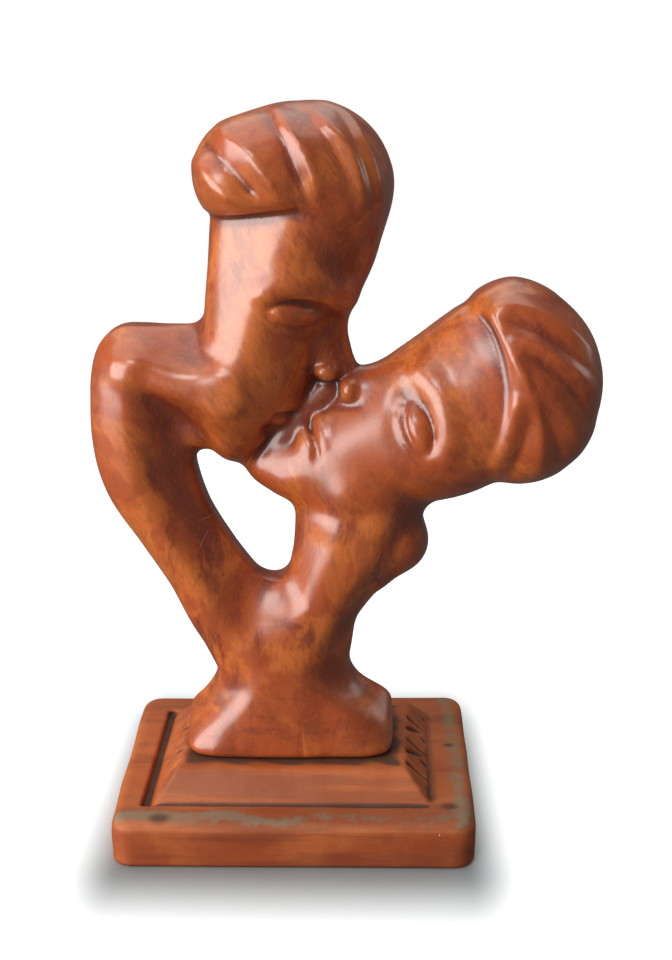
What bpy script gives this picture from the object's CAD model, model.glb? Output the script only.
"""A polished clay sculpture of two heads kissing, on a stepped clay plinth.

Sizes of the sculpture are in millimetres in the row frame; meshes, lights and the camera are in metres.
"""

import math

import bmesh
import bpy
import numpy as np
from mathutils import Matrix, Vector


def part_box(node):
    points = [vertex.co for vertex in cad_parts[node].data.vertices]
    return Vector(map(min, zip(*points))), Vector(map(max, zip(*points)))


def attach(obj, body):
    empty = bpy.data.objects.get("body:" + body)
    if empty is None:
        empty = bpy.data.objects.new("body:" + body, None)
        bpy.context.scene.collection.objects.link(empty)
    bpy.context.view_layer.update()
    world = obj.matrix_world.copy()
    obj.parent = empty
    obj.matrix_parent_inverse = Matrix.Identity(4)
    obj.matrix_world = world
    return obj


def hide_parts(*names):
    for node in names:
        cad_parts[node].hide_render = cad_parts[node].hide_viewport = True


bl_info = {
    "name": "Kissing couple sculpture",
    "version": (1, 0, 0),
    "blender": (4, 5, 0),
    "location": "3D View > Sidebar > Sculpture",
    "description": "Models a polished clay couple on its plinth, with its stage",
    "category": "Object",
}

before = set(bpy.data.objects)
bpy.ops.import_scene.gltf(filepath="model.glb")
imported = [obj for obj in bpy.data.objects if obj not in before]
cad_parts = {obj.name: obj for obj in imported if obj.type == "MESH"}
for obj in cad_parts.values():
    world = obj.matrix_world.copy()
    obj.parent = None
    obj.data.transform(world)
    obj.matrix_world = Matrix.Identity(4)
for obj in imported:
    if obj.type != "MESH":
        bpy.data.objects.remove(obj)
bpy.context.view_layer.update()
MM = 0.001
FOOT_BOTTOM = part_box("couple")[0][2] / MM
STEP_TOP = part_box("plinth")[1][2] / MM
SLAB_TOP = 20.0
STEP_HALF_WIDTH, STEP_HALF_DEPTH, STEP_SPREAD = 51.0, 33.0, 10.0


# Soft unions and cuts of distances


def blend(a, b, reach):
    h = np.maximum(reach - np.abs(a - b), 0) / reach
    return np.minimum(a, b) - h * h * reach * 0.25


def trim(a, b, reach):
    return -blend(-a, -b, reach)


def through_rows(rows, steps):
    """A smooth line through rows of numbers, each row a point with its sizes."""
    rows = [np.array(row, float) for row in rows]
    line = []
    for i in range(len(rows) - 1):
        a, b, c, d = rows[max(i - 1, 0)], rows[i], rows[i + 1], rows[min(i + 2, len(rows) - 1)]
        for t in np.arange(steps) / steps:
            bend = (2 * a - 5 * b + 4 * c - d) * t**2 + (3 * b - a - 3 * c + d) * t**3
            line.append(0.5 * (2 * b + (c - a) * t + bend))
    return np.array(line + [rows[-1]])


def within(low, high, near, measure):
    """A shape is only measured near its own box; further off the distance to the box will do."""
    low, high = np.array(low, float), np.array(high, float)

    def shape(p):
        out = np.linalg.norm(np.maximum(np.maximum(low - p, p - high), 0), axis=1)
        close = out <= near
        out[close] = measure(p[close])
        return out

    return shape


def box_round(line, x, z, thick, deep, near, measure):
    low = [line[:, x].min() - thick, -deep, line[:, z].min() - thick]
    high = [line[:, x].max() + thick, deep, line[:, z].max() + thick]
    return within(low, high, near, measure)


def limb(rows, power=2.4, bevel=0, soften=0.12, taper=0, planes=()):
    """A limb of the relief: rows hold x, z, half width in the picture plane and half depth.

    Its corners are planed by bevel, and each of the planes has a slope to one side and a reach."""
    line = through_rows(rows, 8)
    ends = list(zip(line[:-1], line[1:]))

    def measure(p):
        x, y, z = p.T
        best = np.full(len(p), np.inf)
        for (px, pz, pr, pb), (qx, qz, qr, qb) in ends:
            dx, dz = qx - px, qz - pz
            length = dx * dx + dz * dz
            t = np.clip(((x - px) * dx + (z - pz) * dz) / length, 0, 1)
            r = pr + (qr - pr) * t
            ex, ez = x - px - dx * t, z - pz - dz * t
            out = np.hypot(ex, ez)
            side = (ez * dx - ex * dz) / math.sqrt(length)
            w = y * r / (pb + (qb - pb) * t) / (1 - taper * np.clip(side / r, -1, 1))
            size = (out**power + w**power) ** (1 / power)
            if bevel:
                size = trim(size, (out + w) / bevel, soften * r)
            for slope, reach in planes:
                size = trim(size, (w + slope * side) / reach, soften * r)
            np.minimum(best, size - r, out=best)
        return best

    deep = line[:, 3].max() * (1 + abs(taper))
    return box_round(line, 0, 1, line[:, 2].max(), deep, 14, measure)


def beside(p, a, b):
    """Where places lie on the stretch from a to b, from 0 to 1, and how far off it."""
    way = b - a
    t = np.clip((p - a) @ way / (way @ way), 0, 1)
    return t, np.linalg.norm(p - a - t[:, None] * way, axis=1)


def nearest_on(line, p):
    """How far places lie off a line in the picture plane, in its widths, and its height there."""
    best = np.full(len(p), np.inf)
    height = np.zeros(len(p))
    for a, b in zip(line[:-1], line[1:]):
        t, away = beside(p, a[:2], b[:2])
        away = away / (a[2] + (b[2] - a[2]) * t)
        nearer = away < best
        best = np.where(nearer, away, best)
        height = np.where(nearer, a[3] + (b[3] - a[3]) * t, height)
    return best, height


def strip(rows):
    """A round strip on both faces of the relief: rows hold x, height off the middle plane, z, radius."""
    line = through_rows(rows, 6)
    ends = list(zip(line[:-1], line[1:]))

    def measure(p):
        best = np.full(len(p), np.inf)
        for a, b in ends:
            t, away = beside(p, a[:3], b[:3])
            np.minimum(best, away - a[3] - (b[3] - a[3]) * t, out=best)
        return best

    thick = line[:, 3].max()
    return box_round(line, 0, 2, thick, line[:, 1].max() + thick, 8, measure)


def turned(p, centre, tilt):
    """Places seen from a centre, along and across a tilt in the picture plane."""
    x, y, z = (p - np.array(centre, float)).T
    cos, sin = math.cos(tilt), math.sin(tilt)
    return x * cos + z * sin, y, z * cos - x * sin


def egg(centre, radii, tilt=0):
    """An egg on both faces: radii along the front, sideways and up."""
    radii = np.array(radii, float)
    far = max(radii[0], radii[2])

    def measure(p):
        places = np.stack(turned(p, centre, tilt), 1)
        ratio = np.linalg.norm(places / radii, axis=1)
        slope = np.linalg.norm(places / radii**2, axis=1)
        return ratio * (ratio - 1) / np.maximum(slope, 1e-6)

    cx, cy, cz = centre
    return within([cx - far, -cy - radii[1], cz - far], [cx + far, cy + radii[1], cz + far], 10, measure)


def stroke(rows, fade=(-1, 0)):
    """Relief seen in the picture plane: rows hold x, z, width and height, and below zero it cuts in."""
    line = through_rows(rows, 6)
    far = line[:, 2].max() * 2.6

    def shape(p):
        out = np.zeros(len(p))
        low = line[:, :2].min(0) - far
        high = line[:, :2].max(0) + far
        flat = p[:, [0, 2]]
        close = np.all((flat > low) & (flat < high), axis=1)
        best, height = nearest_on(line, flat[close])
        shown = np.clip((p[close, 1] - fade[0]) / (fade[1] - fade[0]), 0, 1)
        out[close] = height * np.exp(-(best**2)) * shown
        return out

    return shape


def swelling(centre, size, tilt, rise):
    """A low oval swelling in the picture plane."""

    def shape(p):
        a, _, b = turned(p, (centre[0], 0, centre[1]), tilt)
        return rise * np.maximum(1 - (a / size[0]) ** 2 - (b / size[1]) ** 2, 0) ** 0.9

    return shape


def ridged(lines):
    """Waves seen in the picture plane: each line is a crest or, below zero, a valley, with its own height.

    They fade out towards the middle plane, and far from every line the mass stays plain."""
    fade, keen, plain = (3, 13), 1.8, 9
    tracks = []
    for height, points in lines:
        line = through_rows(points, 5)
        share = np.linspace(0, 1, len(line))
        strength = np.clip(share / 0.2, 0, 1) * np.clip((1 - share) / 0.25, 0, 1)
        tracks.append(np.column_stack([line, np.ones(len(line)), height * strength]))

    def shape(p):
        flat = p[:, [0, 2]]
        total = np.zeros(len(p))
        weights = np.full(len(p), plain**-keen)
        for track in tracks:
            best, height = nearest_on(track, flat)
            valley = track[:, 3].min() < 0
            weight = (1.6 if valley else 1.5) * (best + (3.4 if valley else 1.3)) ** -keen
            total += weight * height
            weights += weight
        return total / weights * np.clip((p[:, 1] - fade[0]) / (fade[1] - fade[0]), 0, 1)

    return shape


def carved(mass, relief):
    """A mass with its relief, which is only worked out near its surface."""

    def shape(p):
        out = mass(p)
        near = np.abs(out) < 10
        out[near] -= relief(p[near])
        return out

    return shape


def surface_at(shape, x, z):
    """How far off the middle plane a shape's surface lies."""
    low, high = 0.0, 60.0
    if shape(np.array([[x, 0.0, z]]))[0] > 0:
        return 0.0
    for _ in range(24):
        middle = (low + high) / 2
        if shape(np.array([[x, middle, z]]))[0] < 0:
            low = middle
        else:
            high = middle
    return low


def laid_on(shape, rows):
    """A strip laid on a shape: rows hold x, z, radius and how far its middle stands off the surface."""
    return strip([(x, max(surface_at(shape, x, z) + rise, 0), z, r) for x, z, r, rise in rows])


class Head:
    """A head's own axes: from the chin to the crown, and forwards out of the face."""

    def __init__(self, chin, crown, forwards, lean, nose):
        self.chin = np.array(chin, float)
        self.up = np.array(crown, float) - chin
        self.up /= np.linalg.norm(self.up)
        self.front = np.array([self.up[1], -self.up[0]]) * forwards
        self.tilt = math.atan2(self.front[1], self.front[0])
        self.lean = lean
        self.nose = nose

    def flat(self, u, v, *sizes):
        return (*(self.chin + self.front * (u + self.lean) + self.up * v), *sizes)

    def solid(self, u, v, w, *sizes):
        x, z = self.flat(u, v)
        return (x, w, z, *sizes)


# Heights of the features above the chin
MOUTH, NOSE_BASE, EYE, BROW = 24, 41, 67, 78
upright = Head((-11, 161), (12, 310), 1, 0, 0)
tilted = Head((-12, 158), (130, 199), -1, 3, 4)


def face_on(head, mass):
    """Brow, nose, lips and closed eyes, on both faces of the relief."""
    flat, solid, nose = head.flat, head.solid, head.nose
    brow = laid_on(mass, [
        flat(-10, BROW - 3, 3, -3.4), flat(-4, BROW - 0.5, 4.2, -3), flat(5, BROW + 1, 4.6, -3),
        flat(15, BROW, 4.6, -3.4), flat(20, BROW - 2, 4.6, -4.4),
    ])
    ridge = strip([
        solid(17, EYE + 9, 0, 5.2), solid(18.5, EYE - 3, 0, 5),
        solid(22.5, NOSE_BASE + 10, 0, 5.6), solid(25, NOSE_BASE + 4, 0, 6.4),
    ])
    flank = strip([solid(12 + nose, EYE - 4, 4, 4.5), solid(16 + nose, NOSE_BASE + 9, 5, 5),
                   solid(18 + nose, NOSE_BASE + 4, 5, 5.4)])
    wing = egg(solid(17.5 + nose, NOSE_BASE + 2.4, 9), (5.2, 5, 4.3), head.tilt)
    carving = [
        stroke([flat(-11, EYE + 2, 5, -0.4), flat(-3, EYE + 4.5, 6.5, -1.8), flat(8, EYE + 4, 6.5, -2.4),
                flat(15, EYE, 5.5, -2)]),
        stroke([flat(-6, EYE - 6, 4, -0.3), flat(4, EYE - 8, 4.5, -1), flat(13, EYE - 5, 4, -0.8)]),
        swelling(flat(2, EYE - 0.5), (11, 6.6), head.tilt, 3.2),
        stroke([flat(-9.5, EYE + 0.5, 1.2, -0.5), flat(-4, EYE - 3, 1.3, -2), flat(2, EYE - 4.4, 1.3, -2.3),
                flat(8, EYE - 3.8, 1.3, -2), flat(13, EYE - 0.5, 1.2, -0.5)]),
        stroke([flat(-9, EYE + 2.5, 1.2, 0), flat(-4, EYE + 4.8, 1.3, -1), flat(2, EYE + 5.8, 1.3, -1.2),
                flat(8, EYE + 4.8, 1.3, -1), flat(13.5, EYE + 2, 1.2, 0)]),
        stroke([flat(-8, EYE - 2.5, 1.2, 0), flat(-3, EYE - 5.9, 1.4, 0.8), flat(2, EYE - 7, 1.4, 1),
                flat(8, EYE - 6.3, 1.4, 0.8), flat(13, EYE - 3, 1.2, 0)]),
        stroke([flat(11.5 + nose, NOSE_BASE + 8, 1.8, 0), flat(11.8 + nose, NOSE_BASE + 3, 1.9, -0.8),
                flat(13 + nose, NOSE_BASE - 2, 1.9, -0.6)]),
        stroke([flat(18 + nose, NOSE_BASE - 3, 2, -1.4), flat(22 + nose, NOSE_BASE - 2.4, 1.8, -2)]),
        stroke([flat(-2.5, MOUTH - 1.5, 1.4, -0.3), flat(0, MOUTH - 0.5, 1.6, -1.5),
                flat(5, MOUTH + 0.3, 1.1, -2), flat(10, MOUTH - 0.3, 1.1, -2.2),
                flat(18, MOUTH, 1.2, -2.2)]),
        stroke([flat(0, MOUTH + 1.5, 2.2, 0), flat(5, MOUTH + 3.2, 2.8, 1), flat(10, MOUTH + 4, 3, 1.4),
                flat(16, MOUTH + 3.6, 3, 1.5)]),
        stroke([flat(0, MOUTH - 2.5, 2.4, 0), flat(5, MOUTH - 4, 3.2, 1), flat(10, MOUTH - 4.8, 3.6, 1.4),
                flat(16, MOUTH - 4.6, 3.6, 1.5)]),
        stroke([flat(2, MOUTH - 9, 3.4, 0), flat(8, MOUTH - 10, 3.6, -0.5), flat(16, MOUTH - 10, 3.6, -0.6)]),
    ]

    def carve(base, p):
        d = blend(base, brow(p), 8)
        d = blend(d, blend(ridge(p), flank(p), 5), 6)
        d = blend(d, wing(p), 1.6)
        return d - sum(cut(p) for cut in carving)

    return carve


def swept_cap():
    """The upright head's hair: a swept cap of parallel locks that overhangs the nape."""
    mass = limb([(-16.2, 281.4, 23.9, 33), (-3, 284, 24.8, 35), (12.4, 283, 24.4, 33.5),
                 (17.4, 278, 23.2, 31)])
    waves = ridged([
        (1.5, [(-44, 288), (-37, 286), (-31, 279.5), (-24, 274), (-14, 270.5)]),
        (-3.8, [(-42, 299), (-31, 291.7), (-23.2, 285.1), (-15, 276.9), (-8, 271)]),
        (1.6, [(-34, 306), (-25.1, 298.4), (-16.2, 291.4), (-8.7, 281.8), (-5.8, 277.4), (-2, 270)]),
        (-3.2, [(-14, 312), (-7.7, 303.1), (-2.1, 295.5), (1.9, 285.5), (5.3, 278.5), (7.5, 268)]),
        (1.2, [(-9, 311), (-2.4, 303), (4.5, 293.5), (8.2, 286.3), (10, 278.5), (11.5, 268)]),
        (-2.8, [(-1, 312), (7.3, 303.1), (14.5, 295.5), (18.6, 290), (22.4, 281.9), (26, 266)]),
        (1.2, [(6, 311), (13.7, 303.1), (21.2, 295.8), (25.4, 288.5), (27.8, 279.2), (29.5, 264)]),
        (-2.5, [(13, 312), (20.5, 303.8), (26.2, 292.8), (30.4, 281.6), (32.8, 273.4), (33.5, 258)]),
        (0.9, [(20, 309), (27, 300), (32, 290), (34.5, 280), (36, 264)]),
        (-1.4, [(22, 308), (28.5, 302.2), (34, 295.6), (38, 286.3), (40, 268)]),
    ])
    locks = carved(mass, waves)

    def shape(p):
        x, _, z = p.T
        underside = 266.3 + 0.1 * (x + 23) - 1.4 * np.maximum(x - 3, 0) - z
        return trim(locks(p), underside, 4)

    return shape


def rolled_hair():
    """The tilted head's hair: a fan of waves behind a curved hairline, with a roll along that line."""
    mass = limb([(88, 204, 36, 32), (93.3, 198.3, 36, 34), (94.8, 186.6, 33.3, 33)])
    line_x, line_z, line_radius = 29.3, 196.5, 57.7
    waves = ridged([
        (2.2, [(76, 232.7), (80.7, 224.1), (86.2, 214.2), (92.4, 205.1), (96, 196), (97, 188)]),
        (-3, [(76, 232), (78.8, 234.2), (84.5, 236.6), (92.3, 236.2), (102.6, 233.1), (111.8, 227.6),
                (122, 218)]),
        (1.3, [(78, 230), (87.5, 232.6), (99.2, 230), (111.6, 223), (124, 211)]),
        (-3.8, [(80, 228), (88, 225.5), (93.8, 223.2), (102.9, 218.9), (112.3, 212.1), (125, 200)]),
        (1.3, [(86, 221), (97, 216.8), (106.2, 211.3), (115.6, 204.9), (126, 192)]),
        (-3.8, [(92, 216), (98.2, 211.3), (105.5, 205.7), (109.7, 201.3), (115.2, 194), (124, 178)]),
        (1.3, [(96, 210), (101.7, 200), (108.4, 190.7), (114.9, 181.3), (119, 170)]),
        (-4, [(98, 197), (101.5, 189.6), (104.6, 183.5), (109, 173.1), (113, 160)]),
        (1.3, [(96, 198), (98.6, 190), (100.6, 179.3), (101.5, 158)]),
        (-4, [(96, 192), (94.8, 182.6), (92.8, 173.1), (89.5, 156)]),
        (2, [(91, 198), (88, 189.8), (84.7, 177.5), (80, 160)]),
    ])
    waved = carved(mass, waves)

    def shape(p):
        in_front = line_radius - np.hypot(p[:, 0] - line_x, p[:, 2] - line_z)
        corner = (p[:, 2] - p[:, 0] - 156) * math.sqrt(0.5)
        return trim(trim(waved(p), in_front, 6), corner, 7)

    return shape


# The body's masses: foot, waist, arm, neck and shoulder
FOOT_LEFT, FOOT_RIGHT, FOOT_DEPTH, FOOT_CORNER, FACET_REACH = -48.5, 43.4, 53, 54, 59.2


def foot_block(p):
    """The foot leans back into the waist, with hipped ends and planed corners."""
    x, deep, z = p.T
    middle = (FOOT_LEFT + FOOT_RIGHT) / 2
    end = np.abs(x - middle) - (FOOT_RIGHT - FOOT_LEFT) / 2
    front = 0.985 * (deep - FOOT_DEPTH / 2) + 0.17 * (z - STEP_TOP)
    right_top = 0.8 * (z - FOOT_CORNER + 1.2) + 0.45 * (x - FOOT_RIGHT) + 0.4 * deep
    left_top = 0.72 * (z - FOOT_CORNER + 5.4) - 0.58 * (x - FOOT_LEFT) + 0.38 * deep
    facet = 0.704 * np.abs(x - middle) + 0.501 * deep + 0.503 * z - FACET_REACH
    sides = trim(trim(front, facet, 9), end, 4)
    return trim(sides, np.maximum(right_top, left_top), 3)


def couple_shape():
    """The whole couple as one distance, below zero inside."""
    waist = limb([(-6, 34, 32, 23), (-6.2, 50, 30, 22.5), (-5.7, 68, 28.4, 21.6), (-6.6, 79, 29.2, 21.5)],
                 power=3, bevel=1.42)
    arm = limb([
        (-16.5, 80, 19.8, 20.5), (-29.7, 98, 18.6, 21), (-41.1, 117, 16.3, 21.5), (-52.9, 137, 16.7, 22),
        (-61.9, 157, 19.6, 23), (-64.5, 176, 21.2, 24), (-64.3, 194, 20.9, 25),
    ], power=4, bevel=1.62, soften=0.16, planes=((-0.67, 0.97), (0.5, 1.2)))
    neck = limb([(3.6, 84, 19.4, 20), (11, 99, 17.6, 20), (19.3, 117, 21.2, 22), (26, 130, 26.5, 23),
                 (28, 146, 28, 24)], power=3, bevel=1.38)
    nape = egg((44.5, 0, 125.5), (13.5, 17, 13.5))
    shoulder = limb([(-67.9, 205.2, 15.5, 22), (-56, 203, 17.5, 25), (-42, 200, 21, 27), (-28, 195, 24, 28)],
                    power=6, bevel=1.3, soften=0.07)
    armpit = egg((-43, 0, 176), (8, 12, 8))
    upright_mass = limb([
        (-24, 173, 11.5, 18), (-20.5, 186, 18, 22), (-15, 204, 24, 25), (-11, 224, 26.5, 27),
        (-4, 242, 31.5, 28.5), (1, 260, 35, 29), (2, 276, 34, 29),
    ], power=3, bevel=1.46, soften=0.3, taper=-0.26)
    tilted_mass = limb([
        (-1, 159, 14, 15), (12, 163, 19, 19), (26, 168, 24, 22), (44, 174, 30, 25),
        (61.5, 180.5, 34.4, 28), (86, 196, 36.5, 30),
    ], power=2.8, bevel=1.5, soften=0.3, taper=0.22)

    def planed_mass(p):
        """The upright head's nape side is planed from the temple down to the shoulder."""
        facet = 0.9 * p[:, 1] - 0.42 * p[:, 0] + 0.215 * (p[:, 2] - 262) - 26.9
        return trim(upright_mass(p), facet, 8)

    upright_face = face_on(upright, upright_mass)
    tilted_face = face_on(tilted, tilted_mass)
    cap = swept_cap()
    rolled = rolled_hair()
    touching = strip([(14, 0, 192, 7), (8, 0, 186, 8), (-3, 0, 173, 9), (-13, 0, 160.5, 8.5)])
    hollows = [
        stroke([(10, 196, 3.4, -5), (13, 193, 3.4, -5)], (6, 12)),
        stroke([(-10.5, 178, 3, -4.5), (-8, 175, 3, -4.5)], (6, 12)),
        stroke([(-10, 172, 2, -2), (-17, 163, 1.5, 0)]),
        stroke([(2.7, 147.2, 4, 0), (15.2, 143.3, 5, -1.4), (29.8, 142, 5, -1.4), (44.3, 149.5, 5, 0)]),
    ]

    def shoulder_top(p):
        """The shoulder's top slopes up from a front ridge that dips between the arm and the nape."""
        across = p[:, 0] + 42
        ridge = 205 + np.where(across > 0, 8.7, 6.2) * np.minimum(across**2 / 360, 1.4)
        return 0.8 * (p[:, 2] - ridge) + 0.6 * (p[:, 1] - 25.2)

    def shape(p):
        p = np.column_stack([p[:, 0], np.abs(p[:, 1]), p[:, 2]])
        left = trim(blend(arm(p), shoulder(p), 6), shoulder_top(p), 5)
        left = blend(left, planed_mass(p), 7)
        left = blend(left, armpit(p), 8)
        left = upright_face(left, p)
        left = blend(left, cap(p), 1.6 + 7 * np.clip((p[:, 0] - 2) / 12, 0, 1))
        right = blend(neck(p), nape(p), 5)
        right = blend(right, tilted_mass(p), 7)
        right = tilted_face(right, p)
        right = blend(right, rolled(p), 2.4 + 8 * np.clip((p[:, 2] - 222) / 12, 0, 1))
        reach = 1.6 + 3 * np.clip((150 - p[:, 2]) / 25, 0, 1)
        joined = blend(left, right, reach) - sum(cut(p) for cut in hollows)
        base = blend(foot_block(p), waist(p), 9)
        chin = np.clip((172 - p[:, 2]) / 8, 0, 1)
        whole = blend(blend(joined, touching(p), 2 + 5 * chin), base, 8)
        return trim(whole, FOOT_BOTTOM - p[:, 2], 5)

    return shape


# Mesh handling


def deselect():
    bpy.ops.object.select_all(action="DESELECT")


def activate(piece):
    deselect()
    piece.select_set(True)
    bpy.context.view_layer.objects.active = piece


def finish_modifier(piece, kind, **settings):
    """Adds a modifier with its settings and applies it."""
    activate(piece)
    modifier = piece.modifiers.new(kind.title(), kind)
    for name, value in settings.items():
        setattr(modifier, name, value)
    bpy.ops.object.modifier_apply(modifier=modifier.name)


def places_of(mesh):
    places = np.empty(len(mesh.vertices) * 3)
    mesh.vertices.foreach_get("co", places)
    return places.reshape(-1, 3) / MM


def move_to(mesh, places):
    mesh.vertices.foreach_set("co", (places * MM).ravel())
    mesh.update()


def normals_of(mesh):
    normals = np.empty(len(mesh.vertices) * 3)
    mesh.vertex_normals.foreach_get("vector", normals)
    return normals.reshape(-1, 3)


class Neighbours:
    """Averages over the points that share an edge with each point."""

    def __init__(self, mesh):
        pairs = np.empty(len(mesh.edges) * 2, int)
        mesh.edges.foreach_get("vertices", pairs)
        self.a, self.b = pairs.reshape(-1, 2).T
        self.count = len(mesh.vertices)
        self.shares = np.bincount(np.concatenate([self.a, self.b]), minlength=self.count)

    def mean(self, values):
        columns = values.reshape(self.count, -1)
        ends = np.concatenate([self.a, self.b])
        others = np.concatenate([self.b, self.a])
        sums = [np.bincount(ends, columns[others, k], self.count) for k in range(columns.shape[1])]
        return (np.stack(sums, 1) / self.shares[:, None]).reshape(values.shape)

    def smooth(self, values, times, share=0.5):
        for _ in range(times):
            values = values + (self.mean(values) - values) * share
        return values


def ripple(places, length, seed):
    """A smooth random swell between about -1 and 1, with hills of about that length."""
    rng = np.random.default_rng(seed)
    total = np.zeros(len(places))
    for _ in range(7):
        way = rng.normal(size=3)
        way *= rng.uniform(0.7, 1.4) * 2 * math.pi / (length * 2 * np.linalg.norm(way))
        total += np.sin(places @ way + rng.uniform(0, 2 * math.pi))
    return total / 3


def settle(mesh, shape, turns):
    """Draws a mesh onto a shape, evening it out on the way."""
    around = Neighbours(mesh)
    places = around.smooth(places_of(mesh), 1)
    farthest, share = 1.2, 0.8
    for turn in range(turns):
        move_to(mesh, places)
        gap = np.clip(shape(places), -farthest, farthest)
        places = places - normals_of(mesh) * (gap * share)[:, None]
        if turn < turns - 2:
            places = around.smooth(places, 1, 0.5)
    move_to(mesh, around.smooth(places, 1, 0.3))


def add_attribute(mesh, name, values):
    attribute = mesh.attributes.new(name, "FLOAT", "POINT")
    attribute.data.foreach_set("value", values.astype(np.float32))


def recesses(mesh, around, times):
    """How far each point lies below the smoothed surface, in millimetres."""
    places = places_of(mesh)
    return np.einsum("ij,ij->i", around.smooth(places, times) - places, normals_of(mesh))


# Materials


class Wire:
    """A node's output socket that plain expressions can be written with."""

    def __init__(self, recipe, socket):
        self.recipe = recipe
        self.socket = socket

    def maths(self, operation, *values):
        return self.recipe.node("Math", {"operation": operation}, dict(enumerate(values)))

    def __add__(self, other):
        return self.maths("ADD", self, other)

    def __sub__(self, other):
        return self.maths("SUBTRACT", self, other)

    def __mul__(self, other):
        return self.maths("MULTIPLY", self, other)

    def __rsub__(self, other):
        return self.maths("SUBTRACT", other, self)

    __radd__ = __add__
    __rmul__ = __mul__

    def __pow__(self, other):
        return self.maths("POWER", self, other)

    def between(self, low, high):
        """0 below low, 1 above high, and a soft step between them."""
        settings = {"interpolation_type": "SMOOTHSTEP"}
        return self.recipe.node("MapRange", settings, {0: self, 1: low, 2: high, 3: 0.0, 4: 1.0})

    def most(self, other):
        return self.maths("MAXIMUM", self, other)


class Recipe:
    """A material whose nodes come from expressions on wires."""

    def __init__(self, name, slot_colour):
        self.material = bpy.data.materials.new(name)
        self.material.diffuse_color = (*slot_colour, 1)
        self.material.use_nodes = True
        self.tree = self.material.node_tree
        self.tree.nodes.clear()
        coordinates = self.node("TexCoord", output="Object")
        self.places = coordinates
        split = self.tree.nodes.new("ShaderNodeSeparateXYZ")
        self.tree.links.new(coordinates.socket, split.inputs[0])
        self.x, self.y, self.z = [Wire(self, socket) for socket in split.outputs]

    def node(self, kind, settings=None, sockets=None, output=0):
        node = self.tree.nodes.new("ShaderNode" + kind)
        for name, value in (settings or {}).items():
            setattr(node, name, value)
        for name, value in (sockets or {}).items():
            if isinstance(value, Wire):
                self.tree.links.new(value.socket, node.inputs[name])
            else:
                node.inputs[name].default_value = value
        return Wire(self, node.outputs[output])

    def attribute(self, name):
        return self.node("Attribute", {"attribute_name": name}, output="Fac")

    def stretched(self, scale, turn=(0, 0, 0)):
        """Places drawn out along turned axes, so that a pattern on them runs as long streaks."""
        sockets = {"Vector": self.places, "Scale": scale, "Rotation": turn}
        return self.node("Mapping", {"vector_type": "TEXTURE"}, sockets)

    def noise(self, scale, detail=3.0, roughness=0.5, at=None, distortion=0.0):
        sockets = {"Vector": at or self.places, "Scale": scale, "Detail": detail}
        return self.node("TexNoise", None, {**sockets, "Roughness": roughness, "Distortion": distortion})

    def pits(self, scale, at=None):
        return self.node("TexVoronoi", None, {"Vector": at or self.places, "Scale": scale})

    def scratches(self, scale, stretch, turn, share=0.5):
        """Short straight hairlines here and there: pits drawn out along one way."""
        lines = 1 - self.pits(scale, at=self.stretched(stretch, turn)).between(0.03, 0.07)
        return lines * self.noise(24, 2).between(share, share + 0.06)

    def mix(self, share, a, b):
        colours = [value if isinstance(value, Wire) else (*value, 1) for value in (a, b)]
        return self.node("Mix", {"data_type": "RGBA"}, {0: share, 6: colours[0], 7: colours[1]}, output=2)

    def bump(self, height, distance, strength):
        return self.node("Bump", None, {"Height": height, "Distance": distance, "Strength": strength})

    def finish(self, sockets):
        shader = self.node("BsdfPrincipled", None, sockets)
        output = self.tree.nodes.new("ShaderNodeOutputMaterial")
        self.tree.links.new(shader.socket, output.inputs["Surface"])
        return self.material


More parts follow.
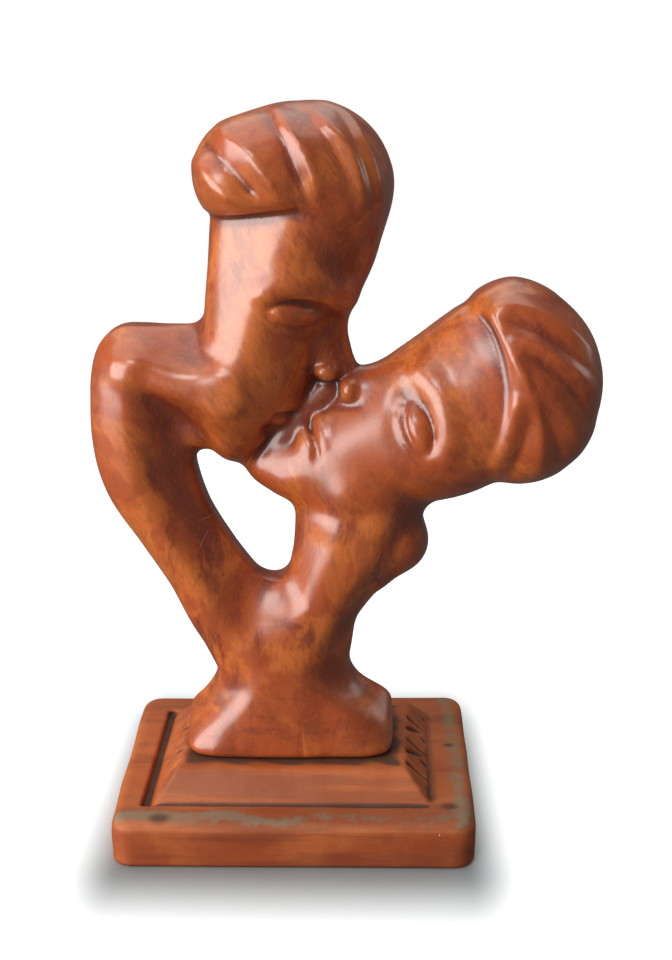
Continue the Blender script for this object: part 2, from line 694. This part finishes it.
def polished_clay(look):
    """Stained and varnished clay: brush streaks, dark stain in the hollows, fine scratches and pits."""
    r = Recipe("polished clay", look.clay_colour)
    fine = r.attribute("hollow")
    broad = r.attribute("shade")
    hollow = fine.between(0.12, 0.7)
    ridge = (0 - fine).between(0.08, 0.5)
    level = (1 - r.z.between(0.05, 0.075)) * 0.9
    upright = r.z.between(0.06, 0.08) * (1 - r.z.between(0.12, 0.16))
    slanted = r.noise(120, 6, 0.7, at=r.stretched((1, 1, 5), (0, -0.6, 0)))
    streaks = slanted + (r.noise(120, 6, 0.7, at=r.stretched((1, 1, 5))) - slanted) * upright
    streaks = streaks + (r.noise(120, 6, 0.7, at=r.stretched((5, 3, 0.8))) - streaks) * level
    feather = (streaks - 0.5) * 0.7
    patches = (r.noise(26, 3, 0.55, distortion=0.8) + feather).between(0.46, 0.58)
    clouds = r.noise(17, 4, 0.55, at=r.stretched((1, 1, 1.5), (0.3, -0.5, 0.2)), distortion=0.5)
    hairs = r.noise(1300, 3, 0.6, at=r.stretched((1, 1, 9), (0.1, -0.75, 0)))
    fine_hairs = r.noise(900, 2, 0.5, at=r.stretched((1, 1, 9), (0.2, 0.35, 0)))
    shade = (broad * 0.35 + (clouds - 0.5) * 1.4 + feather).between(-0.05, 0.27)
    colour = r.mix(patches, look.clay_colour, look.bright_stain)
    drips = r.noise(50, 5, 0.7, at=r.stretched((1, 1, 3)), distortion=0.6).between(0.5, 0.6)
    colour = r.mix(shade * 0.8, colour, look.dark_stain)
    colour = r.mix(drips * (0.35 + 0.35 * upright), colour, look.dark_stain)
    colour = r.mix(streaks.between(0.48, 0.62) * 0.45, colour, look.dark_stain)
    colour = r.mix(hairs.between(0.5, 0.72) * 0.25, colour, look.dark_stain)
    colour = r.mix(fine_hairs.between(0.52, 0.7) * 0.25, colour, look.bright_stain)
    colour = r.mix(ridge * 0.3, colour, look.bright_stain)
    colour = r.mix(hollow * 0.7, colour, look.hollow_stain)
    rare = r.noise(18, 1).between(0.5, 0.6)
    pinholes = (1 - r.pits(160).between(0.04, 0.08)) * rare
    colour = r.mix(pinholes * 0.6, colour, look.hollow_stain)
    steep = r.scratches(230, (1, 20, 30), (0, 0.5, 0))
    crossing = r.scratches(200, (1, 20, 36), (0, 1.4, 0), 0.55)
    colour = r.mix(steep.most(crossing) * 0.3, colour, look.scratch_colour)
    rough = 0.34 + 0.18 * streaks + 0.1 * patches + 0.15 * pinholes
    height = r.noise(34, 2, 0.5) * 0.5 + hairs * 0.06 + streaks * 0.1 + fine_hairs * 0.04 - pinholes * 0.4
    return r.finish({
        "Base Color": colour,
        "Roughness": rough,
        "Normal": r.bump(height, 0.0009, 0.5),
        "Coat Weight": 0.85 + 0.15 * patches,
        "Specular IOR Level": 0.5,
        "Coat Roughness": look.varnish_roughness,
        "Coat IOR": 1.8,
    })


def matt_clay(look):
    """Brushed clay of the plinth: level streaks, dark dirt in the grooves and grey dust on the ledges."""
    r = Recipe("matt clay", look.plinth_colour)
    cloud = r.noise(30, 4, 0.6)
    grain = r.noise(900, 3, 0.6)
    brushed = r.noise(46, 6, 0.65, at=r.stretched((8, 1.4, 0.6)))
    colour = r.mix(cloud.between(0.4, 0.65) * 0.6, look.plinth_colour, look.plinth_bright)
    colour = r.mix(r.attribute("film") * 0.5, colour, look.plinth_bright)
    colour = r.mix(brushed.between(0.45, 0.6) * 0.5, colour, look.plinth_dark)
    colour = r.mix(grain.between(0.5, 0.8) * 0.25, colour, look.plinth_dark)
    dirt = r.attribute("hollow").between(0.12, 0.8) * (1 - 0.6 * r.x.between(0.058, 0.061))
    colour = r.mix(dirt * 0.85, colour, look.dirt_colour)
    ledge = r.attribute("dust")
    ragged = (ledge + (r.noise(110, 8, 0.8) - 0.5) * 2.4).between(0.35, 0.95) * ledge.between(0.1, 0.4)
    film = r.attribute("film") * r.noise(60, 6, 0.7).between(0.35, 0.7)
    colour = r.mix((ragged * 0.72).most(film * 0.12), colour, look.dust_colour)
    colour = r.mix(r.attribute("spots") * 0.7, colour, look.dirt_colour)
    chips = (1 - r.pits(90).between(0.02, 0.06)) * r.noise(25, 1).between(0.5, 0.6)
    scratches = r.scratches(260, (36, 20, 1), (0, 0.35, 0))
    colour = r.mix(chips.most(scratches * 0.45), colour, look.chip_colour)
    height = grain * 0.12 + brushed * 0.5 + cloud * 0.4 + ragged * 0.2 - chips * 0.4
    return r.finish({
        "Base Color": colour,
        "Roughness": 0.55 + 0.15 * cloud + 0.2 * ragged,
        "Normal": r.bump(height, 0.0009, 0.6),
        "Coat Weight": 0.12 - 0.12 * ragged,
        "Coat Roughness": 0.35,
    })


# Pieces


def couple_piece(look):
    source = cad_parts["couple"]
    mesh = source.data.copy()
    mesh.materials.clear()
    piece = bpy.data.objects.new("carved_couple", mesh)
    bpy.context.collection.objects.link(piece)
    activate(piece)
    bpy.ops.object.mode_set(mode="EDIT")
    bpy.ops.mesh.select_all(action="SELECT")
    bpy.ops.mesh.remove_doubles(threshold=1e-6)
    bpy.ops.object.mode_set(mode="OBJECT")
    shape = couple_shape()
    for grain, turns in ((1.5 * look.couple_grain, 6), (look.couple_grain, 5)):
        finish_modifier(piece, "REMESH", mode="VOXEL", voxel_size=grain)
        settle(piece.data, shape, turns)
    mesh = piece.data
    around = Neighbours(mesh)
    places = places_of(mesh)
    handmade = 0.25 * ripple(places, length=38, seed=3) + 0.1 * ripple(places, length=13, seed=5)
    standing = np.clip((places[:, 2] - FOOT_BOTTOM) / 3, 0, 1)
    places = places + normals_of(mesh) * (handmade * standing)[:, None]
    places[:, 2] = np.maximum(places[:, 2], FOOT_BOTTOM)
    move_to(mesh, around.smooth(places, 1, 0.4))
    stain_couple(mesh, around, places)
    return piece


def stain_couple(mesh, around, places):
    """Where the stain gathers: in the hollows, along the foot and on the sides turned to the right."""
    foot_line = np.clip(1 - (places[:, 2] - FOOT_BOTTOM) / 3, 0, 1)
    add_attribute(mesh, "hollow", around.smooth(recesses(mesh, around, 8), 2) + foot_line * 0.4)
    turned_away = np.clip((around.smooth(normals_of(mesh)[:, 0], 6) - 0.15) / 0.4, 0, 1)
    turned_away *= 0.6 * np.clip((178 - places[:, 2]) / 20, 0, 1) * np.clip((places[:, 2] - 62) / 20, 0, 1)
    add_attribute(mesh, "shade", around.smooth(recesses(mesh, around, 90), 6) + turned_away)


def add_block(name, low, high):
    """A cube primitive at its size and place."""
    deselect()
    low, high = np.array(low, float) * MM, np.array(high, float) * MM
    bpy.ops.mesh.primitive_cube_add(size=1, location=tuple((low + high) / 2), scale=tuple(high - low))
    block = bpy.context.object
    block.name = name
    bpy.ops.object.transform_apply(location=True, rotation=False, scale=True)
    return block


def pick(block, kind, test):
    """In edit mode, selects the points, edges or faces whose middle passes the test, in millimetres."""
    bpy.ops.mesh.select_mode(type=kind)
    bpy.ops.mesh.select_all(action="DESELECT")
    net = bmesh.from_edit_mesh(block.data)
    for item in {"VERT": net.verts, "EDGE": net.edges, "FACE": net.faces}[kind]:
        points = [item.co] if kind == "VERT" else [v.co for v in item.verts]
        if all(test(*(co / MM)) for co in points):
            item.select_set(True)
    net.select_flush_mode()
    bmesh.update_edit_mesh(block.data)


def shift(block, test, by):
    pick(block, "VERT", test)
    bpy.ops.transform.translate(value=tuple(np.array(by, float) * MM))


def round_edges(block, test, offset, segments=4):
    pick(block, "EDGE", test)
    bpy.ops.mesh.bevel(offset=offset * MM, segments=segments, profile=0.5, affect="EDGES")


def slab_block():
    """The slab is wider at the back, and its back edge runs out towards the right."""
    half_width, front, back = 77.1, -61.5, 63.5
    corner, top_edge, bottom_edge = 9, 4.5, 1.4
    slab = add_block("slab", (-half_width, front, 0), (half_width, back, SLAB_TOP))
    bpy.ops.object.mode_set(mode="EDIT")
    shift(slab, lambda x, y, z: y > 0 and x > 0, (2.8, 1.8, 0))
    shift(slab, lambda x, y, z: y > 0 and x < 0, (-2.8, -1.8, 0))
    pick(slab, "EDGE", lambda x, y, z: abs(x) > 60)
    net = bmesh.from_edit_mesh(slab.data)
    for edge in net.edges:
        a, b = edge.verts
        edge.select_set(abs(a.co.z - b.co.z) > 0.01)
    bmesh.update_edit_mesh(slab.data)
    bpy.ops.mesh.bevel(offset=corner * MM, segments=5, profile=0.5, affect="EDGES")
    round_edges(slab, lambda x, y, z: z > SLAB_TOP - 0.1, top_edge)
    round_edges(slab, lambda x, y, z: z < 0.1, bottom_edge, 2)
    bpy.ops.object.mode_set(mode="OBJECT")
    return slab


def groove_block():
    """The sunk margin round the step, deeper on the left."""
    low_left, low_rest = SLAB_TOP - 3.4, SLAB_TOP - 1.2
    block = add_block("groove", (-66, -45.5, low_left), (60.6, 45.5, SLAB_TOP + 5))
    bpy.ops.object.mode_set(mode="EDIT")
    bpy.ops.mesh.select_all(action="SELECT")
    bpy.ops.mesh.bisect(plane_co=(0, 0, 0), plane_no=(1, 0, 0))
    shift(block, lambda x, y, z: z < SLAB_TOP and x > -10, (0, 0, low_rest - low_left))
    shift(block, lambda x, y, z: x > 50 and y > 0, (2.3, 0, 0))
    shift(block, lambda x, y, z: x > 50 and y < 0, (-2.3, 0, 0))
    bpy.ops.object.mode_set(mode="OBJECT")
    return block


def step_block():
    """The step's sides slope down from its flat top, and its right side runs in towards the front."""
    low = SLAB_TOP - 5
    rise = STEP_TOP - SLAB_TOP
    out = (STEP_TOP - low) * STEP_SPREAD / rise
    wide, deep = STEP_HALF_WIDTH, STEP_HALF_DEPTH
    block = add_block("step", (-wide, -deep, low), (wide, deep, STEP_TOP))
    bpy.ops.object.mode_set(mode="EDIT")
    pick(block, "FACE", lambda x, y, z: z < low + 0.1)
    bpy.ops.transform.resize(value=((wide + out) / wide, (deep + out) / deep, 1))
    shift(block, lambda x, y, z: x > 0 and y > 0, (0.9, 0, 0))
    shift(block, lambda x, y, z: x > 0 and y < 0, (-2.4, 0, 0))
    shift(block, lambda x, y, z: x < 0 and z < low + 0.1, (1.2, 0, 0))
    round_edges(block, lambda x, y, z: z > STEP_TOP - 0.1, 1.2, 2)
    bpy.ops.object.mode_set(mode="OBJECT")
    return block


def chip_cutter(corners, outward, depth):
    """A long three-cornered nick, deepest near the side between its first two corners."""
    outward = Vector(outward).normalized()
    above = 0.4
    corners = [Vector(corner) + outward * above for corner in corners]
    deepest = (corners[0] + corners[1]) * 0.42 + corners[2] * 0.16 - outward * (above + depth)
    deselect()
    bpy.ops.mesh.primitive_cone_add(vertices=3, radius1=1, radius2=0, depth=1, end_fill_type="NGON")
    cutter = bpy.context.object
    for vertex, place in zip(cutter.data.vertices, [*corners, deepest]):
        vertex.co = place * MM
    net = bmesh.new()
    net.from_mesh(cutter.data)
    if net.calc_volume(signed=True) < 0:
        cutter.data.flip_normals()
    net.free()
    return cutter


def zigzag_cutters():
    """Zigzags of chip cuts on the step's slopes, worn down on the left, and a gouge at the back right."""
    cutters = []
    periods, width, full_depth = 3, 6.2, 3.2
    rise = STEP_TOP - SLAB_TOP
    for side in (-1, 1):
        outward = (side * rise, 0, STEP_SPREAD)
        depth = full_depth * (0.6 if side < 0 else 1)

        def at(y, share):
            x = side * (STEP_HALF_WIDTH + (1 - share) * STEP_SPREAD)
            x = x * 0.985 + 0.05 * y if x > 0 else x + 0.83 * (1 - share)
            return x, y, SLAB_TOP + share * rise

        for i in range(periods):
            y = STEP_HALF_DEPTH - 12 - i * 2 * STEP_HALF_DEPTH / periods
            chips = [
                (at(y + 1, 1.04), at(y + 1 - width, 1.04), at(y - 1.5, -0.25), 1),
                (at(y + 8, 0.05), at(y + 8 + width, 0.05), at(y + 11, 0.62), 0.7),
            ]
            if y - 12 - width > -STEP_HALF_DEPTH:
                chips.append((at(y - 11, 1.06), at(y - 12 - width, 1.06), at(y - 1.5, -0.05), 1))
            cutters += [chip_cutter(corners, outward, depth * share) for *corners, share in chips]
    top = STEP_TOP + 0.1
    for corners, depth in (([(36, 31, top), (49, 31, top), (51, 24, top - 1)], 1.4),
                           ([(47, 31, top), (50, 23, top), (57.5, 23, top - 7)], 1.6)):
        cutters.append(chip_cutter(corners, (0.35, 0.25, 0.9), depth))
    return cutters


def cut_and_join(piece, other, operation):
    finish_modifier(piece, "BOOLEAN", object=other, operation=operation, solver="EXACT")
    bpy.data.objects.remove(other)


def plinth_piece(look):
    piece = slab_block()
    piece.name = "brushed_plinth"
    cut_and_join(piece, groove_block(), "DIFFERENCE")
    cut_and_join(piece, step_block(), "UNION")
    cutters = zigzag_cutters()
    activate(cutters[0])
    for cutter in cutters:
        cutter.select_set(True)
    bpy.ops.object.join()
    chips = bpy.context.object
    finish_modifier(piece, "BOOLEAN", object=chips, operation="DIFFERENCE", solver="EXACT", use_self=True)
    bpy.data.objects.remove(chips)
    finish_modifier(piece, "REMESH", mode="VOXEL", voxel_size=look.plinth_grain)
    mesh = piece.data
    around = Neighbours(mesh)
    before = places_of(mesh)
    places = around.smooth(before, 1)
    normals = normals_of(mesh)
    swells = 0.2 * ripple(places, length=40, seed=11)
    brushed = 0.16 * ripple(places * (0.35, 1, 1.6), length=11, seed=12)
    low_relief = swells + brushed
    on_step = (np.abs(places[:, 0]) < STEP_HALF_WIDTH + 1) & (np.abs(places[:, 1]) < STEP_HALF_DEPTH + 1)
    under_foot = on_step & (places[:, 2] > STEP_TOP - 1)
    swell = np.where(under_foot, np.minimum(low_relief, 0), low_relief)
    free = np.clip(before[:, 2] / 4, 0, 1)
    places = places + normals * (swell * free)[:, None]
    places[before[:, 2] < 0.3, 2] = 0
    places[:, 2] = np.clip(places[:, 2], 0, STEP_TOP)
    move_to(mesh, places)
    soil_plinth(mesh, around, places, normals)
    return piece


def soil_plinth(mesh, around, places, normals):
    """Dirt in the grooves and round the foot, dust on the front and right ledges, and dark spots."""
    hollow = recesses(mesh, around, 24) * 2.2
    x, y, z = places.T
    away = np.hypot(np.maximum(np.abs(x + 3) - 44, 0), np.maximum(np.abs(y) - 25, 0))
    under = np.clip(1.15 - away / 9 + 0.25 * ripple(places, length=6, seed=21), 0, 1) ** 1.3
    under = under * (z > STEP_TOP - 1.2) * 0.8
    right_slope = np.clip((x - 47) / 3, 0, 1) * np.clip((63 - x) / 2, 0, 1) * (np.abs(y) < 40) * (z > 18.5)
    grime = 0.3 * right_slope * (1 + 0.4 * ripple(places, length=9, seed=23))
    add_attribute(mesh, "hollow", around.smooth(hollow, 2) + under + grime)
    top = np.clip((normals[:, 2] - 0.3) / 0.5, 0, 1) * (z > 14) * (z < SLAB_TOP + 2)
    front = np.clip(1.15 - np.abs(y + 55 - 1.5 * ripple(places, length=20, seed=31)) / 8, 0, 1)
    front = front * (1.05 - 0.45 * np.clip((x + 25) / 40, 0, 1))
    right = np.clip(1.1 - np.abs(x - 72) / 8, 0, 1) * 0.85
    add_attribute(mesh, "dust", around.smooth(np.maximum(front, right) * top, 3))
    upward = np.clip((normals[:, 2] - 0.1) / 0.3, 0, 1)
    outer = np.clip(0.4 + np.hypot(x / 80, y / 60) * 0.5, 0, 1)
    add_attribute(mesh, "film", around.smooth(upward * outer, 3))
    stains = [(-56.5, -55.5, 4.2), (66.5, -45, 3.2), (70, 10, 2.2)]
    spots = sum(np.clip(1.6 - 1.4 * np.hypot((x - sx) / 1.3, y - sy) / size, 0, 1) for sx, sy, size in stains)
    add_attribute(mesh, "spots", np.clip(spots, 0, 1) * top)


# Settings, operators and the panel


def tone(name, text, default):
    return bpy.props.FloatVectorProperty(
        name=name, description=text, default=default, subtype="COLOR", size=3, min=0, max=1)


def edge_length(name, text, default):
    return bpy.props.FloatProperty(
        name=name, description=text, default=default, subtype="DISTANCE", unit="LENGTH")


class SculptureLook(bpy.types.PropertyGroup):
    """Fineness and finish of the couple and its plinth"""

    couple_grain: edge_length("Couple grain", "Edge length of the couple's fine mesh", 0.00124)
    plinth_grain: edge_length("Plinth grain", "Edge length of the plinth's fine mesh", 0.00085)
    clay_colour: tone("Clay", "Stained clay of the couple", (0.52, 0.095, 0.018))
    bright_stain: tone("Bright stain", "Orange patches and rubbed ridges", (0.72, 0.17, 0.021))
    dark_stain: tone("Dark stain", "Red-brown brush streaks", (0.21, 0.024, 0.009))
    hollow_stain: tone("Stain in the hollows", "Nearly black stain in the hollows", (0.045, 0.012, 0.008))
    varnish_roughness: bpy.props.FloatProperty(
        name="Varnish roughness", description="Roughness of the varnish coat", default=0.25, min=0, max=1)
    plinth_colour: tone("Plinth clay", "Brushed clay of the plinth", (0.43, 0.08, 0.019))
    plinth_bright: tone("Plinth bright", "Lighter clay of the plinth", (0.7, 0.185, 0.045))
    plinth_dark: tone("Plinth dark", "Darker brush streaks of the plinth", (0.2, 0.045, 0.02))
    dirt_colour: tone("Dirt", "Dark dirt in grooves and cuts", (0.045, 0.028, 0.022))
    dust_colour: tone("Dust", "Grey dust on the ledges", (0.28, 0.25, 0.17))
    scratch_colour: tone("Scratches", "Pale hairlines in the varnish", (0.75, 0.5, 0.38))
    chip_colour: tone("Chips", "Pale specks where the finish is knocked off", (0.62, 0.42, 0.32))


def wattage(name, text, default):
    return bpy.props.FloatProperty(name=name, description=text, default=default, min=0, unit="POWER")


class StageLook(bpy.types.PropertyGroup):
    """Light, floor and camera"""

    floor_colour: tone("Floor", "Plain pale floor", (0.54, 0.63, 0.66))
    floor_glow: bpy.props.FloatProperty(
        name="Floor glow", description="Evens out the floor's light away from the slab", default=1, min=0)
    window_power: wattage("Window", "Power of the large soft window light", 18.5)
    ceiling_power: wattage("Ceiling", "Power of the soft light from above", 7)
    front_power: wattage("Front", "Power of the soft light beside the camera", 3.2)
    side_power: wattage("Side", "Power of the weak light on the right", 0.5)
    room: bpy.props.FloatProperty(
        name="Room", description="Strength of the dim room around", default=0.11, min=0)
    lens: bpy.props.FloatProperty(
        name="Lens", description="Focal length of the camera in millimetres", default=48.75, min=1)


def dress(piece, node, material):
    activate(piece)
    bpy.ops.object.shade_smooth()
    piece.data.materials.clear()
    piece.data.materials.append(material)
    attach(piece, "root")
    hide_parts(node)


class SCULPTURE_OT_couple(bpy.types.Operator):
    """Carve the couple from one piece of clay"""

    bl_idname = "sculpture.couple"
    bl_label = "Couple"

    def execute(self, context):
        look = context.scene.sculpture_look
        dress(couple_piece(look), "couple", polished_clay(look))
        return {"FINISHED"}


class SCULPTURE_OT_plinth(bpy.types.Operator):
    """Model the slab, the groove and the chip-carved step"""

    bl_idname = "sculpture.plinth"
    bl_label = "Plinth"

    def execute(self, context):
        look = context.scene.sculpture_look
        dress(plinth_piece(look), "plinth", matt_clay(look))
        return {"FINISHED"}


def add_light(name, where, target, size, power, tint):
    deselect()
    bpy.ops.object.light_add(type="AREA", location=where)
    light = bpy.context.object
    light.name = name
    light.data.shape = "RECTANGLE"
    light.data.size, light.data.size_y = size
    light.data.energy = power
    light.data.color = tint
    light.visible_camera = False
    light.rotation_euler = (Vector(target) - Vector(where)).to_track_quat("-Z", "Y").to_euler()
    return light


def show_only(piece, *kinds):
    """Keeps a piece of the stage out of the light on the sculpture."""
    for kind in ("camera", "diffuse", "glossy", "transmission", "volume_scatter", "shadow"):
        setattr(piece, "visible_" + kind, kind in kinds)


def floor_disc(look):
    """A plain pale floor that doesn't throw its colour back at the sculpture."""
    deselect()
    bpy.ops.mesh.primitive_circle_add(vertices=96, radius=1.3, fill_type="NGON")
    floor = bpy.context.object
    floor.name = "pale_floor"
    recipe = Recipe("pale floor", look.floor_colour)
    at_sides = (recipe.x.most(0 - recipe.x) - 0.072).most(0) * 34
    before = (0 - recipe.y - 0.061).most(0) * 18
    behind = (recipe.y - 0.063).most(0) * 14
    away = (at_sides**2 + before**2 + behind**2) ** 0.5
    floor.data.materials.append(recipe.finish({
        "Base Color": (*look.floor_colour, 1), "Roughness": 0.8,
        "Emission Color": recipe.mix(away.between(0, 1), (0, 0, 0), (1, 1, 1)),
        "Emission Strength": look.floor_glow,
    }))
    show_only(floor, "camera")


def pale_surroundings(look):
    """A white dome that only the camera sees."""
    deselect()
    bpy.ops.mesh.primitive_uv_sphere_add(segments=32, ring_count=16, radius=5)
    dome = bpy.context.object
    dome.name = "pale_backdrop"
    recipe = Recipe("pale backdrop", look.floor_colour)
    dome.data.materials.append(recipe.finish({
        "Base Color": (0, 0, 0, 1), "Emission Color": (1, 1, 1, 1), "Emission Strength": 1.0}))
    show_only(dome, "camera")


class SCULPTURE_OT_stage(bpy.types.Operator):
    """Add the pale floor, the soft lights and the camera"""

    bl_idname = "sculpture.stage"
    bl_label = "Stage"

    def execute(self, context):
        look = context.scene.stage_look
        floor_disc(look)
        pale_surroundings(look)
        middle = (0.02, 0, 0.16)
        window = add_light(
            "window", (-1.02, -0.66, 0.42), middle, (1.3, 1.05), look.window_power, (1, 0.98, 0.95))
        add_light("front", (-0.35, -0.8, 1.15), middle, (0.45, 0.35), look.front_power, (1, 0.98, 0.96))
        add_light("side", (0.95, 0.25, 0.5), middle, (0.3, 0.4), look.side_power, (1, 0.96, 0.92))
        lit = bpy.data.collections.new("lit_by_window")
        for name in ("carved_couple", "brushed_plinth"):
            lit.objects.link(bpy.data.objects[name])
        window.light_linking.receiver_collection = lit
        add_light("ceiling", (-0.15, 0.3, 1.25), middle, (1.7, 1.4), look.ceiling_power, (1, 0.98, 0.92))
        world = bpy.data.worlds.new("dim room")
        world.use_nodes = True
        world.node_tree.nodes["Background"].inputs["Color"].default_value = (1, 0.93, 0.88, 1)
        world.node_tree.nodes["Background"].inputs["Strength"].default_value = look.room
        context.scene.world = world
        down, turn = 16.34, 0.65
        bpy.ops.object.camera_add(
            location=(0.0236, -0.5401, 0.3107),
            rotation=(math.radians(90 - down), 0, math.radians(turn)))
        camera = context.object
        camera.name = "camera"
        camera.data.lens = look.lens
        camera.data.sensor_width = 36
        context.scene.camera = camera
        context.scene.view_settings.view_transform = "Standard"
        return {"FINISHED"}


class SCULPTURE_PT_panel(bpy.types.Panel):
    """Lists the pieces of the sculpture"""

    bl_idname = "SCULPTURE_PT_panel"
    bl_label = "Sculpture"
    bl_space_type = "VIEW_3D"
    bl_region_type = "UI"
    bl_category = "Sculpture"

    def draw(self, context):
        layout = self.layout
        for settings in (context.scene.sculpture_look, context.scene.stage_look):
            for name in settings.__annotations__:
                layout.prop(settings, name)
        for operator in OPERATORS:
            layout.operator(operator.bl_idname)


OPERATORS = (SCULPTURE_OT_couple, SCULPTURE_OT_plinth, SCULPTURE_OT_stage)
CLASSES = (SculptureLook, StageLook, *OPERATORS, SCULPTURE_PT_panel)


def register():
    for kind in CLASSES:
        bpy.utils.register_class(kind)
    bpy.types.Scene.sculpture_look = bpy.props.PointerProperty(type=SculptureLook)
    bpy.types.Scene.stage_look = bpy.props.PointerProperty(type=StageLook)


def unregister():
    del bpy.types.Scene.sculpture_look
    del bpy.types.Scene.stage_look
    for kind in reversed(CLASSES):
        bpy.utils.unregister_class(kind)


def main():
    register()
    bpy.ops.sculpture.couple()
    bpy.ops.sculpture.plinth()
    bpy.ops.sculpture.stage()
    deselect()


if __name__ == "__main__":
    main()
